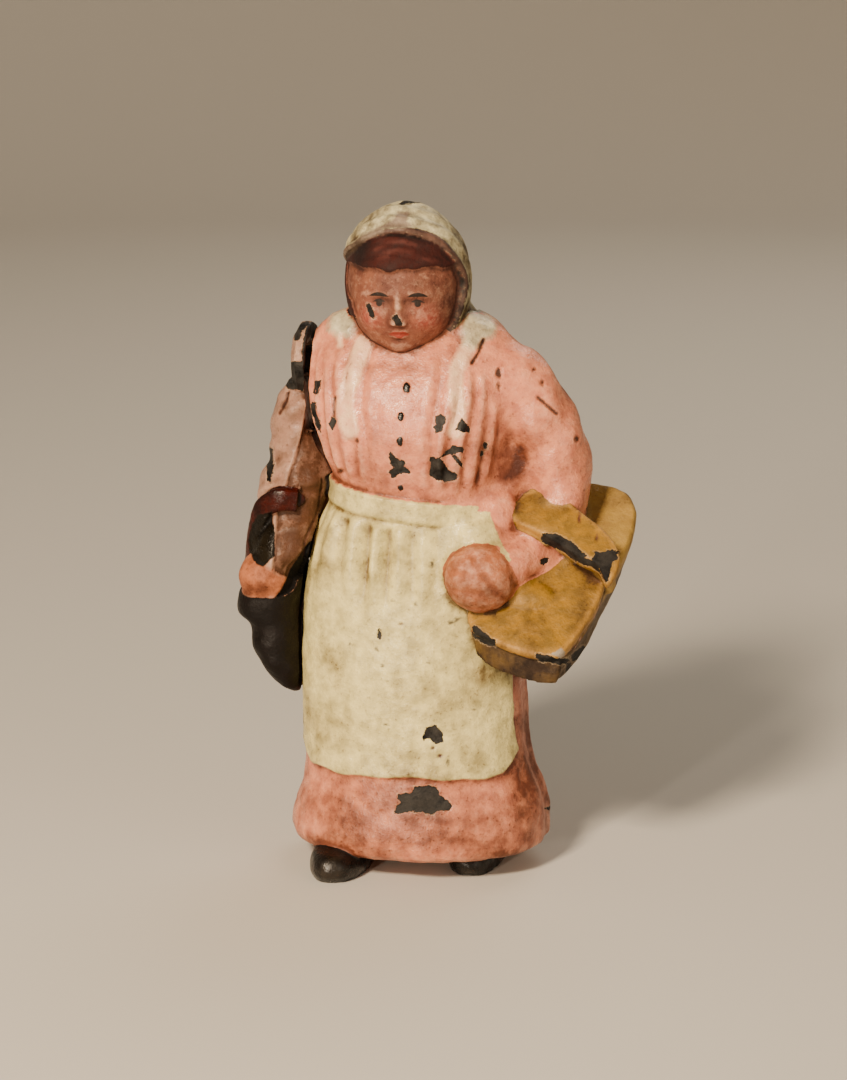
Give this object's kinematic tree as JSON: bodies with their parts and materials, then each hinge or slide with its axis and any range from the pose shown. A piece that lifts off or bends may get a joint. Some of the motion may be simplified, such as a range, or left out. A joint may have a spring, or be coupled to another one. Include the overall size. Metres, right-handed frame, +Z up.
{
  "type": "lead miniature figure",
  "caption": "Small painted lead figure of a countrywoman in kerchief, pleated bodice and long apron, with a lidded basket on one arm and a dark bag hanging from the other.",
  "frame": {"origin": "middle of the underside of the box round the whole figure, on the surface that the shoes stand on", "axes": "+Z up, she faces -Y, +X towards her left arm with the basket"},
  "size_m": [0.0316, 0.0178, 0.0533],
  "materials": {
    "painted_lead_body": "old glossy enamel on cast lead: pink dress, cream apron and kerchief, ochre basket, black shoes, chipped to dark lead",
    "painted_lead_arm": "old glossy enamel on cast lead: pink sleeve, flesh hand, near-black maroon bag and handle, chipped to dark lead"
  },
  "bodies": {
    "root": {"figure": "painted_lead_body", "right_arm": "painted_lead_arm"}
  },
  "joints": []
}
